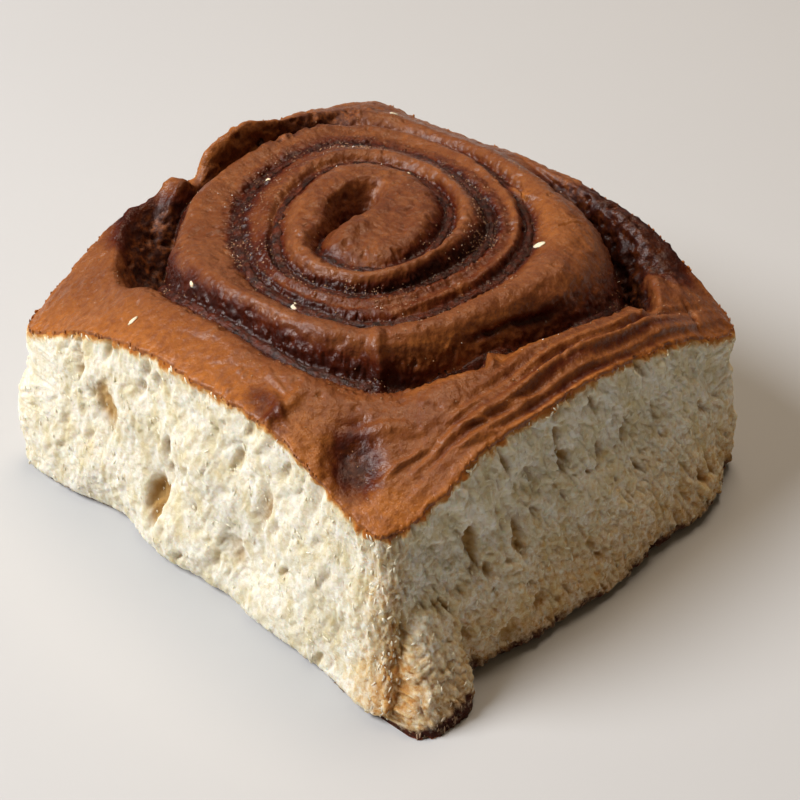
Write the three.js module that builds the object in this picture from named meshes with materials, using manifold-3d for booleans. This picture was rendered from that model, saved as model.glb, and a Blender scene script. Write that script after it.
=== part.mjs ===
// Cinnamon roll: a square pull-apart bun, torn from its neighbours on all four sides.
// Two solids: the dough, and the cinnamon filling that runs through it as one coiled sheet.
// Millimetres, +Z up. The origin is the middle of the box at the level of the base.

import * as THREE from "three";
import { mergeVertices } from "three/addons/utils/BufferGeometryUtils.js";
import Module from "manifold-3d";

// ---- Driving dimensions -------------------------------------------------------------------

const HALF_X = 45;            // middle of the bun to the torn left and right faces, at the crust
const HALF_Y = 46;            // middle of the bun to the torn front and back faces, at the crust
const CROWN_Z = 51;           // base to the top of the coils
const CORNER_POWER = 20;      // superellipse power of the plan: high is a squarer corner
const DOME_POWER = 2.3;       // how flat the middle of the top is

const COIL_CENTRE = new THREE.Vector2(0, 3);
const COIL_START = -0.12;     // turns: where the filling begins, beside the pit
const COIL_END = 3.72;        // turns: where the filling ends, inside the right face
const FILLING_THICKNESS = 1.6;
const FIT_GAP = 0.3;          // air between the filling and the dough on either side
const FILLING_RISE = 0.4;     // top of the filling over the floor of its groove

// One row a turn, each value an eighth of a turn on, counter-clockwise seen from above:
// back, back left, left, front left, front, front right, right, back right.
const COIL_RADII = [
  [5.4, 5.6, 11, 13.8, 12.4, 13.5, 18, 23.8],
  [18, 15.4, 18.2, 19.6, 17.8, 21.2, 25.4, 34],
  [27.8, 22.2, 23.4, 26.3, 24.8, 27.8, 33.4, 45.5],
  [39.2, 37, 32.2, 37, 35.5, 45, 42, 56],
];
const HEART_RADII = [0, 0.6, 1.2, 1.8, 2.6, 3.8, 6, 9.5];  // the turn inside the first, no filling

// Depth of the groove that the filling lies in, at the same places as the radii.
const GROOVE_DEPTHS = [
  [3.8, 2.8, 1.5, 1.2, 2, 2.4, 2.1, 1.7],
  [1.5, 1.4, 2.3, 2.4, 3, 2.8, 2.3, 1.9],
  [2.4, 2.3, 2.3, 2.7, 2.5, 2.6, 2.1, 2],
  [5, 4.2, 3.4, 4.5, 4.4, 5.2, 4.6, 4],
];
const CREST_LIFTS = [0, 0, 0.4, -1.9, 0.9, -0.6];         // crests against the dome, heart to rim

// Sixteen even stations round the bun, the same way round and from the same start as the coil.
const RIM_HEIGHTS = [
  46.6, 41.2, 31, 39.8, 43.6, 42.6, 34.4, 40.4, 40.8, 37.8, 30.8, 41.4, 44.4, 42.8, 42.6, 47,
];
const BASE_REACH = [2, 2, 4, 1.3, 1, 1.2, 3.2, 5.6, 6.8, 6.8, 2.4, 1.6, 2, 2, 2, 2];

// Hollows and ridges of the top: centre, half length, half width, heading in degrees from +X,
// and how deep or high.
const HOLLOWS = [
  { name: "pit", x: 3.6, y: 9.2, long: 6.6, wide: 3.4, heading: 20, deep: 8 },
  { name: "pit tail", x: -6.5, y: 5.4, long: 6, wide: 2.6, heading: 16, deep: 1.8 },
  { name: "open seam at the back left", x: -22, y: 35.5, long: 13, wide: 5, heading: 42, deep: 8.5 },
  { name: "trench at the back", x: 13, y: 42, long: 18, wide: 2.4, heading: -4, deep: 3 },
  { name: "open seam at the front", x: -16.5, y: -30, long: 12, wide: 2.6, heading: -25, deep: 2.4 },
  { name: "slot right of the front", x: 5, y: -33, long: 8, wide: 2.2, heading: -4, deep: 2 },
  { name: "open seam at the right", x: 32, y: -31, long: 9, wide: 3, heading: 50, deep: 6 },
  { name: "trench at the right", x: 38.5, y: -19, long: 14, wide: 3, heading: 88, deep: 4 },
  { name: "dimple in the front corner", x: -38.4, y: -33.4, long: 6.5, wide: 4.6, heading: 45, deep: 2 },
  { name: "notch in the back rim", x: -4, y: 46, long: 5, wide: 3, heading: 90, deep: 3 },
];
const RIDGES = [
  { name: "peak of the back rim", x: 7, y: 45, long: 9, wide: 3.6, heading: -4, high: 2.4 },
  { name: "fold at the front corner", x: -33.6, y: -32.4, long: 8, wide: 1.6, heading: -38, high: 1 },
  { name: "pulled skin along the front", x: 8, y: -42, long: 30, wide: 1.6, heading: -1.6, high: 1.4 },
  { name: "fold on the left", x: -42, y: -20.7, long: 5, wide: 1.4, heading: 5, high: 1 },
];

const SIDE_COLUMNS = 22;      // columns of faces along each side
const WALL_ROWS = 7;
const BASE_ROUND = 2;         // height over which the base edge is rounded
const BASE_TUCK = 1.4;        // how far the base edge is drawn in
const TEAR_DEPTH = 1.5;       // lumps and hollows of the torn faces
const TEAR_SIZE = 15;
const TOP_UNEVEN = 0.5;       // slow waves of the top

// The foot of torn crumb that runs down the front face beside the corner and out over the
// surface the bun stands on. Its top leans back into the face by the two leans.
const FOOT = { x: -40, y: -50.6, long: 5.4, wide: 6.4, high: 30, leanX: 7, leanY: 10 };
// Radius and height, both as shares of the foot's own sizes.
const FOOT_PROFILE = [[0, 0], [0.94, 0], [1, 0.06], [0.9, 0.3], [0.82, 0.6], [0.5, 0.9], [0, 1]];
const FOOT_SIDES = 16;
const FOOT_CORNERS = 3.4;     // superellipse power of its plan
const FOOT_LUMPS = 0.1;

// ---- Small helpers --------------------------------------------------------------------------

const { lerp, clamp, smoothstep, degToRad } = THREE.MathUtils;

function through(values, position) {
  // A smooth curve through evenly spaced values, a Catmull-Rom spline in one number.
  const i = Math.floor(position);
  const f = position - i;
  const at = (k) => values[clamp(k, 0, values.length - 1)];
  const [a, b, c, d] = [at(i - 1), at(i), at(i + 1), at(i + 2)];
  const slopeIn = (c - a) / 2;
  const slopeOut = (d - b) / 2;
  const bend = 3 * (c - b) - 2 * slopeIn - slopeOut;
  const twist = 2 * (b - c) + slopeIn + slopeOut;
  return b + slopeIn * f + bend * f * f + twist * f * f * f;
}

function round(values, turn) {
  // The same curve through a closed ring of values, turn being 0 to 1 once round.
  const n = values.length;
  const position = (turn - Math.floor(turn)) * n;
  const ring = [values[n - 1], ...values, values[0], values[1], values[2]];
  return through(ring, position + 1);
}

function unevenness(x, y, z, size) {
  // Smooth lumps of about the given size, between -1 and 1, the same on every run.
  const [a, b, c] = [x / size, y / size, z / size];
  const first = Math.sin(4.1 * a + 1.7 * Math.sin(2.3 * b + 0.8) + 0.9 * c);
  const second = Math.sin(3.7 * b - 1.9 * Math.sin(1.9 * c + 2.1) + 1.3);
  const third = Math.sin(4.6 * c + 1.4 * Math.sin(2.9 * a - 0.4) - 0.7 * b);
  return (first + second + third) / 3;
}

function blob({ x, y, long, wide, heading }, px, py) {
  // 1 at the middle of an oval patch, falling smoothly to 0 at its edge.
  const a = degToRad(heading);
  const along = ((px - x) * Math.cos(a) + (py - y) * Math.sin(a)) / long;
  const across = ((py - y) * Math.cos(a) - (px - x) * Math.sin(a)) / wide;
  return 1 - smoothstep(Math.hypot(along, across), 0.25, 1.35);
}

// ---- Plan, coil and top ---------------------------------------------------------------------

function rimPoint(turn) {
  // Plan of the bun at its crust. Turn 0 is the middle of the back.
  const side = Math.floor(turn * 4 + 0.5);
  const along = 2 * (turn * 4 - side);
  const quarter = (side % 4) * Math.PI / 2;
  const squareX = -along * Math.cos(quarter) - Math.sin(quarter);
  const squareY = -along * Math.sin(quarter) + Math.cos(quarter);
  const power = Math.abs(squareX) ** CORNER_POWER + Math.abs(squareY) ** CORNER_POWER;
  const shrink = power ** (-1 / CORNER_POWER);
  return new THREE.Vector2(HALF_X * squareX * shrink, HALF_Y * squareY * shrink);
}

const COIL_VALUES = [...HEART_RADII, ...COIL_RADII.flat()];

function coilRadius(turns) {
  // Distance of the groove from the coil's centre after so many turns.
  return turns <= -1 ? 0 : through(COIL_VALUES, (turns + 1) * 8);
}

function grooveDepth(turns) {
  const depth = through(GROOVE_DEPTHS.flat(), turns * 8);
  const start = smoothstep(turns, COIL_START - 0.06, COIL_START + 0.1);
  const end = 1 - smoothstep(turns, COIL_END - 0.06, COIL_END + 0.06);
  return depth * start * end;
}

function domeHeight(px, py, share, turn) {
  // Share is 0 at the coil's centre and 1 at the rim.
  const rim = round(RIM_HEIGHTS, turn);
  const dome = rim + (CROWN_Z - rim) * (1 - share ** DOME_POWER);
  const folds = RIDGES.reduce((sum, ridge) => sum + ridge.high * blob(ridge, px, py), 0);
  const sunk = HOLLOWS.reduce((sum, hollow) => sum + hollow.deep * blob(hollow, px, py), 0);
  return dome + folds - sunk + TOP_UNEVEN * unevenness(px, py, 0, 22);
}

// ---- Spokes -----------------------------------------------------------------------------------

const COLUMNS = 4 * SIDE_COLUMNS;
const LINES = 7;              // groove lines a spoke crosses, from the centre to the rim
const RIDGE_SHARES = [0, 0.13, 0.3, 0.5, 0.7, 0.87, 1];   // points across each ridge
const RIDGE_POINTS = RIDGE_SHARES.length;
const FLANK_POWER = 3;        // how sharply a ridge falls away into its grooves

function spokeAt(index) {
  // A straight line over the top from the coil's centre to the rim, and where it meets the coil.
  const station = index / COLUMNS;
  const rim = rimPoint(station);
  const reach = rim.clone().sub(COIL_CENTRE);
  const rimRadius = reach.length();
  const bearing = reach.angle() / (2 * Math.PI) - 0.25;
  const coilTurn = bearing - Math.round(bearing - station);
  const spoke = { index, station, rim, rimRadius, coilTurn, direction: reach.divideScalar(rimRadius) };
  spoke.lines = Array.from({ length: LINES }, (_, line) => grooveLine(coilTurn + line - 2, rimRadius));
  return spoke;
}

function grooveLine(turns, rimRadius) {
  // Where a groove crosses a spoke. Its channel is cut square to the groove, so it is wider
  // along the spoke where the coil climbs. It closes to a line at the heart and, past the end
  // of the filling, where it runs out to the rim.
  const runOut = smoothstep(turns, COIL_END, 4);
  const radius = Math.min(lerp(coilRadius(turns), rimRadius, runOut), rimRadius);
  const climb = (coilRadius(turns + 0.01) - coilRadius(turns - 0.01)) / 0.02;
  const slant = Math.min(Math.hypot(1, climb / (2 * Math.PI * Math.max(radius, 1))), 2.2);
  const open = smoothstep(turns, -1, COIL_START) * (1 - runOut);
  const half = Math.min(open * slant * (FILLING_THICKNESS / 2 + FIT_GAP), radius / 2);
  return { turns, radius, slant, inner: radius - half, outer: radius + half };
}

function along(spoke, radius, z) {
  const spot = spoke.direction.clone().multiplyScalar(radius).add(COIL_CENTRE);
  return [spot.x, spot.y, z];
}

const SPOKES = Array.from({ length: COLUMNS }, (_, index) => spokeAt(index));

function coilSections() {
  // Every crossing of a spoke with the filling, in order from the heart outwards.
  const sections = [];
  for (let line = 1; line < LINES - 1; line++) {
    for (const spoke of SPOKES) {
      const { turns } = spoke.lines[line];
      if (turns >= COIL_START && turns <= COIL_END) {
        sections.push({ spoke, line });
      }
    }
  }
  return sections;
}

const SECTIONS = coilSections();

// ---- Dough ------------------------------------------------------------------------------------

function topRow(spoke) {
  // Points across every ridge: down each flank into the grooves and over the crest between.
  const points = [];
  for (let band = 0; band < LINES - 1; band++) {
    const [before, after] = [spoke.lines[band], spoke.lines[band + 1]];
    const depths = [grooveDepth(before.turns), grooveDepth(after.turns)];
    for (const share of RIDGE_SHARES) {
      const radius = lerp(before.outer, after.inner, share);
      const [x, y] = along(spoke, radius, 0);
      const fall = depths[Math.round(share)] * Math.abs(2 * share - 1) ** FLANK_POWER;
      const reach = radius / spoke.rimRadius;
      const lift = through(CREST_LIFTS, before.turns + 1 + share) * Math.sin(Math.PI * share);
      const z = domeHeight(x, y, reach, spoke.station) - fall + lift * (1 - reach ** 6);
      points.push([x, y, z]);
    }
  }
  return points;
}

function wallRow(spoke, rimPointTop) {
  // Points down the torn face, from the edge of the crust to the rounded edge of the base.
  const points = [rimPointTop];
  const outward = spoke.rim.clone().normalize();
  for (let row = 1; row <= WALL_ROWS; row++) {
    const down = row / WALL_ROWS;
    const z = row === WALL_ROWS ? 0 : lerp(rimPointTop[2], BASE_ROUND, row / (WALL_ROWS - 1));
    const swell = round(BASE_REACH, spoke.station) * smoothstep(down, 0.05, 0.8);
    const torn = TEAR_DEPTH * unevenness(spoke.rim.x, spoke.rim.y, z, TEAR_SIZE);
    const tuck = BASE_TUCK * (1 - smoothstep(z, 0, BASE_ROUND));
    const offset = swell + torn * smoothstep(down, 0, 0.25) - tuck;
    points.push([spoke.rim.x + outward.x * offset, spoke.rim.y + outward.y * offset, z]);
  }
  return points;
}

function baseRow(spoke, foot) {
  // Points across the flat base: both edges of each channel, and the foot of the torn face.
  const edges = spoke.lines.slice(0, LINES - 1);
  const points = edges.flatMap((line) => [along(spoke, line.inner, 0), along(spoke, line.outer, 0)]);
  return [...points, foot];
}

function doughSkin() {
  // The whole bun as one closed skin. Its rows follow the coil, so once round, each row meets
  // the row one ridge further out. The channel for the filling is left open, with its two walls.
  const triangles = [];
  const quad = (a, b, c, d) => triangles.push(...a, ...b, ...c, ...a, ...c, ...d);
  const tops = SPOKES.map(topRow);
  const walls = SPOKES.map((spoke, i) => wallRow(spoke, tops[i].at(-1)));
  const bases = SPOKES.map((spoke, i) => baseRow(spoke, walls[i].at(-1)));
  const filled = ({ turns }, step) => turns >= COIL_START && turns + step <= COIL_END;
  for (const spoke of SPOKES) {
    const i = spoke.index;
    const next = (i + 1) % COLUMNS;
    const wrap = next === 0 ? 1 : 0;
    const step = SPOKES[next].coilTurn + wrap - spoke.coilTurn;
    const open = spoke.lines.map((line) => filled(line, step));
    const beside = (rows, k, shift) => rows[next][Math.min(k + wrap * shift, rows[next].length - 1)];
    for (let k = 0; k < tops[i].length - 1; k++) {
      const line = (k + 1) / RIDGE_POINTS;
      if (Number.isInteger(line) && open[line]) {
        continue;
      }
      const [c, d] = [beside(tops, k + 1, RIDGE_POINTS), beside(tops, k, RIDGE_POINTS)];
      quad(tops[i][k], tops[i][k + 1], c, d);
    }
    for (let k = 0; k < bases[i].length - 1; k++) {
      if (k % 2 === 0 && open[k / 2]) {
        continue;
      }
      quad(beside(bases, k, 2), beside(bases, k + 1, 2), bases[i][k + 1], bases[i][k]);
    }
    for (let k = 0; k < WALL_ROWS; k++) {
      quad(walls[i][k], walls[i][k + 1], walls[next][k + 1], walls[next][k]);
    }
  }
  const edge = ({ spoke, line }, side) => {
    const top = tops[spoke.index][line * RIDGE_POINTS - 1 + side];
    return [top, bases[spoke.index][line * 2 + side]];
  };
  for (let i = 0; i < SECTIONS.length - 1; i++) {
    const [innerHere, innerNext] = [edge(SECTIONS[i], 0), edge(SECTIONS[i + 1], 0)];
    const [outerHere, outerNext] = [edge(SECTIONS[i], 1), edge(SECTIONS[i + 1], 1)];
    quad(innerHere[0], innerHere[1], innerNext[1], innerNext[0]);
    quad(outerNext[0], outerNext[1], outerHere[1], outerHere[0]);
  }
  const [startIn, startOut] = [edge(SECTIONS[0], 0), edge(SECTIONS[0], 1)];
  quad(startIn[0], startOut[0], startOut[1], startIn[1]);
  const [endIn, endOut] = [edge(SECTIONS.at(-1), 0), edge(SECTIONS.at(-1), 1)];
  quad(endOut[0], endIn[0], endIn[1], endOut[1]);
  return geometryOf(triangles);
}

function footOfCrumb() {
  // A leaning, lumpy cone of squarish plan, its lower edge turned in where it meets the surface.
  const profile = FOOT_PROFILE.map(([radius, height]) => new THREE.Vector2(radius, height));
  const cone = new THREE.LatheGeometry(profile, FOOT_SIDES).rotateX(Math.PI / 2).scale(1, 1, -1);
  const place = cone.attributes.position;
  for (let i = 0; i < place.count; i++) {
    const [x, y, z] = [place.getX(i), place.getY(i), Math.abs(place.getZ(i))];
    const radius = Math.hypot(x, y);
    const power = Math.abs(x) ** FOOT_CORNERS + Math.abs(y) ** FOOT_CORNERS;
    const square = radius > 0 ? radius * power ** (-1 / FOOT_CORNERS) : 1;
    const swell = square * (1 + FOOT_LUMPS * unevenness(x * 9, y * 9, z * 20, 7));
    const px = FOOT.x + x * FOOT.wide * swell + z * FOOT.leanX;
    const py = FOOT.y + y * FOOT.long * swell + z * FOOT.leanY;
    place.setXYZ(i, px, py, z * FOOT.high);
  }
  return cone;
}

// ---- Filling ----------------------------------------------------------------------------------

function fillingSheet() {
  // A sheet standing on edge along the coil, from the base to the floor of its groove.
  const rings = SECTIONS.map(({ spoke, line }) => {
    const { turns, radius, slant } = spoke.lines[line];
    const [x, y] = along(spoke, radius, 0);
    const dome = domeHeight(x, y, radius / spoke.rimRadius, spoke.station);
    const top = dome - grooveDepth(turns) + FILLING_RISE;
    const half = slant * FILLING_THICKNESS / 2;
    const [inside, outside] = [along(spoke, radius - half, 0), along(spoke, radius + half, 0)];
    const raised = ([px, py]) => [px, py, top];
    return [inside, outside, raised(outside), raised(inside)];
  });
  const triangles = [];
  const quad = (a, b, c, d) => triangles.push(...a, ...b, ...c, ...a, ...c, ...d);
  for (let i = 0; i < rings.length - 1; i++) {
    for (let k = 0; k < 4; k++) {
      const m = (k + 1) % 4;
      quad(rings[i + 1][k], rings[i + 1][m], rings[i][m], rings[i][k]);
    }
  }
  quad(...rings[0]);
  quad(...rings.at(-1).toReversed());
  return geometryOf(triangles);
}

// ---- Joining and cutting ------------------------------------------------------------------------

function geometryOf(triangles) {
  const geometry = new THREE.BufferGeometry();
  geometry.setAttribute("position", new THREE.Float32BufferAttribute(triangles, 3));
  return geometry;
}

const wasm = await Module();
wasm.setup();

function solidOf(geometry) {
  const bare = geometry.clone();
  bare.deleteAttribute("normal");
  bare.deleteAttribute("uv");
  const merged = mergeVertices(bare, 1e-4);
  const corners = [];
  for (let i = 0; i < merged.index.count; i += 3) {
    const [a, b, c] = [0, 1, 2].map((k) => merged.index.getX(i + k));
    if (a !== b && b !== c && c !== a) {
      corners.push(a, b, c);
    }
  }
  const vertProperties = new Float32Array(merged.attributes.position.array);
  const triVerts = new Uint32Array(corners);
  return new wasm.Manifold(new wasm.Mesh({ numProp: 3, vertProperties, triVerts }));
}

function geometryFrom(solid) {
  const mesh = solid.getMesh();
  const geometry = new THREE.BufferGeometry();
  geometry.setAttribute("position", new THREE.Float32BufferAttribute(mesh.vertProperties, 3));
  geometry.setIndex(new THREE.Uint32BufferAttribute(mesh.triVerts, 1));
  return geometry;
}

// ---- The bun --------------------------------------------------------------------------------------

const doughSolid = solidOf(doughSkin()).add(solidOf(footOfCrumb()));
const fillingSolid = solidOf(fillingSheet());

const crust = new THREE.MeshStandardMaterial({ color: 0xa8682f, roughness: 0.45, metalness: 0 });
const cinnamon = new THREE.MeshStandardMaterial({ color: 0x43180c, roughness: 0.35, metalness: 0 });

const dough = new THREE.Mesh(geometryFrom(doughSolid), crust);
dough.name = "dough";
const filling = new THREE.Mesh(geometryFrom(fillingSolid), cinnamon);
filling.name = "cinnamon_filling";

const bun = new THREE.Group();
bun.add(dough, filling);
const box = new THREE.Box3().setFromObject(bun);
const middle = box.getCenter(new THREE.Vector3());
for (const piece of [dough, filling]) {
  piece.geometry.translate(-middle.x, -middle.y, -box.min.z);
}

export default bun;
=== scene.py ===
# %% [markdown]
# # A pull-apart cinnamon roll
# The real thing is a square bun from the middle of a tray, torn from its neighbours on all four
# sides. Its top is a coil of browned, egg-washed dough with dark cinnamon sugar in the grooves,
# and its sides are bare, fluffy crumb. The imported solids are loaded first, because they say
# where everything is. Their box is kept.

# %% Load the solids
import math
import bpy
import numpy as np
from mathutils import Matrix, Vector


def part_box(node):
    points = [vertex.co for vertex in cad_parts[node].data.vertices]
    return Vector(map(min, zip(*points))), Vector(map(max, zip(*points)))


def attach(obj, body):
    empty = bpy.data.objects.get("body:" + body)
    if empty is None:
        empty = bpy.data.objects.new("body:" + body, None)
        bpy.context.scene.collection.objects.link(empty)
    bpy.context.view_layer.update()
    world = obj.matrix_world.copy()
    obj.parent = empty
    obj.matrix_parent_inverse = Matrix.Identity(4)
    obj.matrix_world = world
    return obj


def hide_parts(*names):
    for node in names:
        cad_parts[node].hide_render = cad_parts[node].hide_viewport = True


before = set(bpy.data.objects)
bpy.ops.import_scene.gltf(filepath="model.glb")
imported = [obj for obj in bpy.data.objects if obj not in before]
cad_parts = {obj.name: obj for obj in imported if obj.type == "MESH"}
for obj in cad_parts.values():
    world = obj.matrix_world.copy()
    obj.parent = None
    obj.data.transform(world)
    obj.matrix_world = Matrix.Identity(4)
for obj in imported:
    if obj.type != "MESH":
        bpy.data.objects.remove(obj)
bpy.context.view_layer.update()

# %% [markdown]
# The solids are faceted, so dough this fine has to be modelled again with far more points. The
# same named sizes as the solids' own are used, in millimetres from the middle of the bun at the
# level of its base, so that both have one form: a square plan with a superellipse for its
# corners, a dome, and a spiral of grooves given by its radius at every eighth of a turn.

# %% The bun's driving sizes, in millimetres
HALF_X, HALF_Y, CROWN_Z = 45.0, 46.0, 51.0
CORNER_POWER, DOME_POWER, FLANK_POWER = 20.0, 2.3, 3.0
COIL_CENTRE = np.array([0.0, 3.0])
COIL_START, COIL_END = -0.12, 3.72                  # turns
FILLING_THICKNESS, FIT_GAP = 1.6, 0.3
COIL_RADII = [                                      # a row a turn, from the back, counter-clockwise
    [5.4, 5.6, 11, 13.8, 12.4, 13.5, 18, 23.8],
    [18, 15.4, 18.2, 19.6, 17.8, 21.2, 25.4, 34],
    [27.8, 22.2, 23.4, 26.3, 24.8, 27.8, 33.4, 45.5],
    [39.2, 37, 32.2, 37, 35.5, 45, 42, 56],
]
HEART_RADII = [0, 0.6, 1.2, 1.8, 2.6, 3.8, 6, 9.5]  # the turn inside the first
GROOVE_DEPTHS = [                                   # at the same places as the radii
    3.8, 2.8, 1.5, 1.2, 2, 2.4, 2.1, 1.7, 1.5, 1.4, 2.3, 2.4, 3, 2.8, 2.3, 1.9,
    2.4, 2.3, 2.3, 2.7, 2.5, 2.6, 2.1, 2, 5, 4.2, 3.4, 4.5, 4.4, 5.2, 4.6, 4,
]
CREST_LIFTS = [0, 0, 0.4, -1.9, 0.9, -0.6]          # crests against the dome, heart to rim
RIM_HEIGHTS = [46.6, 41.2, 31, 39.8, 43.6, 42.6, 34.4, 40.4, 40.8, 37.8, 30.8, 41.4, 44.4, 42.8, 42.6, 47]
BASE_REACH = [2, 2, 4, 1.3, 1, 1.2, 3.2, 5.6, 6.8, 6.8, 2.4, 1.6, 2, 2, 2, 2]
BASE_ROUND, BASE_TUCK, TEAR_DEPTH, TEAR_SIZE, TOP_UNEVEN = 2.0, 1.4, 1.5, 15.0, 0.5
HOLLOWS = {          # centre x and y, half length, half width, heading in degrees, depth
    "pit": (3.6, 9.2, 6.6, 3.4, 20, 8),
    "pit tail": (-6.5, 5.4, 6, 2.6, 16, 1.8),
    "open seam at the back left": (-22, 35.5, 13, 5, 42, 8.5),
    "trench at the back": (13, 42, 18, 2.4, -4, 3),
    "open seam at the front": (-16.5, -30, 12, 2.6, -25, 2.4),
    "slot right of the front": (5, -33, 8, 2.2, -4, 2),
    "open seam at the right": (32, -31, 9, 3, 50, 6),
    "trench at the right": (38.5, -19, 14, 3, 88, 4),
    "dimple in the front corner": (-38.4, -33.4, 6.5, 4.6, 45, 2),
    "notch in the back rim": (-4, 46, 5, 3, 90, 3),
}
RIDGES = {           # the same, with a height
    "peak of the back rim": (7, 45, 9, 3.6, -4, 2.4),
    "fold at the front corner": (-33.6, -32.4, 8, 1.6, -38, 1),
    "pulled skin along the front": (8, -42, 30, 1.6, -1.6, 1.4),
    "fold on the left": (-42, -20.7, 5, 1.4, 5, 1),
}
FOOT = {"x": -40.0, "y": -50.6, "long": 5.4, "wide": 6.4, "high": 30.0, "lean_x": 7.0, "lean_y": 10.0}
FOOT_PROFILE = [(1, 0.06), (0.9, 0.3), (0.82, 0.6), (0.5, 0.9), (0, 1)]     # radius, height
print("coil of", COIL_END - COIL_START, "turns, crown", CROWN_Z, "mm over the base")

# %% [markdown]
# Everything below is worked out for whole arrays of points at once with numpy, which is fast
# enough to place a few hundred thousand points in seconds. These helpers are smooth steps and
# curves, and the slow waves that the solids' torn faces have too.

# %% Curves, patches and slow waves


def smooth(x, low, high):
    t = np.clip((x - low) / (high - low), 0, 1)
    return t * t * (3 - 2 * t)


def mix(a, b, share):
    return a + (b - a) * share


def through(values, position):
    """A smooth curve through evenly spaced values."""
    values = np.asarray(values, float)
    i = np.floor(position).astype(int)
    f = position - i
    a, b, c, d = (values[np.clip(i + k, 0, len(values) - 1)] for k in (-1, 0, 1, 2))
    slope_in, slope_out = (c - a) / 2, (d - b) / 2
    bend = 3 * (c - b) - 2 * slope_in - slope_out
    return b + slope_in * f + bend * f**2 + (2 * (b - c) + slope_in + slope_out) * f**3


def round_through(values, turn):
    """The same through a closed ring of values, turn being 0 to 1 once round."""
    ring = [values[-1], *values, *values[:3]]
    return through(ring, (turn - np.floor(turn)) * len(values) + 1)


def unevenness(x, y, z, size):
    a, b, c = x / size, y / size, z / size
    first = np.sin(4.1 * a + 1.7 * np.sin(2.3 * b + 0.8) + 0.9 * c)
    second = np.sin(3.7 * b - 1.9 * np.sin(1.9 * c + 2.1) + 1.3)
    third = np.sin(4.6 * c + 1.4 * np.sin(2.9 * a - 0.4) - 0.7 * b)
    return (first + second + third) / 3


def patch(shape, px, py, inner=0.25, outer=1.35):
    """1 at the middle of an oval patch, falling smoothly to 0 at its edge."""
    x, y, long, wide, heading = shape[:5]
    turn = math.radians(heading)
    along = ((px - x) * math.cos(turn) + (py - y) * math.sin(turn)) / long
    across = ((py - y) * math.cos(turn) - (px - x) * math.sin(turn)) / wide
    return 1 - smooth(np.hypot(along, across), inner, outer)


# %% [markdown]
# Torn crumb and baked skin are irregular at every size. Two kinds of random pattern give that:
# soft noise, which is random heights on a lattice joined smoothly, and cells, which measure the
# way to the nearest of many scattered points and so give pores. Both come from a hash of the
# lattice and not from a random stream, so they are the same on every run.

# %% Noise and pores


def hashed(ix, iy, iz, seed):
    """An even random value from 0 to 1 for each lattice point."""
    h = (ix * 374761393 + iy * 668265263 + iz * 1442695041 + seed * 1274126177) & 0xFFFFFFFF
    h = ((h ^ (h >> 13)) * 1274126177) & 0xFFFFFFFF
    h = ((h ^ (h >> 15)) * 2246822519) & 0xFFFFFFFF
    return ((h ^ (h >> 16)) & 0xFFFFFF) / 0xFFFFFF


def soft_noise(p, size, seed=0):
    """Smooth noise between -1 and 1, with lumps of the given size. Size may be one for each axis."""
    q = p / np.asarray(size, float)
    i = np.floor(q).astype(np.int64)
    f = q - i
    f = f * f * f * (f * (f * 6 - 15) + 10)
    total = 0
    for dx in (0, 1):
        for dy in (0, 1):
            for dz in (0, 1):
                weight = 1.0
                for axis, d in enumerate((dx, dy, dz)):
                    weight = weight * (f[:, axis] if d else 1 - f[:, axis])
                total = total + weight * hashed(i[:, 0] + dx, i[:, 1] + dy, i[:, 2] + dz, seed)
    return total * 2 - 1


def rough_noise(p, size, seed=0, octaves=3):
    """Soft noise with ever finer and weaker noise on it."""
    size = np.asarray(size, float)
    parts = [soft_noise(p, size / 2**k, seed + 17 * k) / 1.7**k for k in range(octaves)]
    return sum(parts) / sum(1 / 1.7**k for k in range(octaves))


def cells(p, size, seed=0):
    """For each point, how far the nearest scattered point is, in cells, and that point's own
    random value."""
    q = p / np.asarray(size, float)
    i = np.floor(q).astype(np.int64)
    nearest, own = np.full(len(p), 9.0), np.zeros(len(p))
    for dx in (-1, 0, 1):
        for dy in (-1, 0, 1):
            for dz in (-1, 0, 1):
                spot = (i[:, 0] + dx, i[:, 1] + dy, i[:, 2] + dz)
                away = 0
                for axis in range(3):
                    away = away + (spot[axis] + hashed(*spot, seed + axis) - q[:, axis]) ** 2
                away = np.sqrt(away)
                own = np.where(away < nearest, hashed(*spot, seed + 5), own)
                nearest = np.minimum(nearest, away)
    return nearest, own


def pits(p, size, seed, chance, edge):
    """1 in scattered round pits and 0 between: a cell has one where its random value is above the
    range of chance, and it ends over the range of edge."""
    nearest, own = cells(p, size, seed)
    return smooth(own, *chance) * (1 - smooth(nearest, *edge))


# %% [markdown]
# The coil's plan. A groove crosses the line from the coil's centre to any point of the rim at
# seven radii, one for each turn. Between two grooves the dough is a ridge, highest in its
# middle. Given the plan position of any point, `top_height` finds its ridge and returns how high
# the top is there, and with it what the finish needs: how far the groove is, how deep, and which
# turn of the coil it is.

# %% Plan, coil and top

COIL_VALUES = HEART_RADII + [r for row in COIL_RADII for r in row]
LINES = 7


def rim_point(station):
    """Plan of the bun at its crust, station being 0 to 1 from the middle of the back."""
    side = np.floor(station * 4 + 0.5)
    along = 2 * (station * 4 - side)
    quarter = (side % 4) * math.pi / 2
    x = -along * np.cos(quarter) - np.sin(quarter)
    y = -along * np.sin(quarter) + np.cos(quarter)
    shrink = (np.abs(x) ** CORNER_POWER + np.abs(y) ** CORNER_POWER) ** (-1 / CORNER_POWER)
    return np.stack([HALF_X * x * shrink, HALF_Y * y * shrink], -1)


def bearing_of(vector):
    return (np.arctan2(vector[..., 1], vector[..., 0]) / (2 * math.pi) - 0.25) % 1


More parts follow.
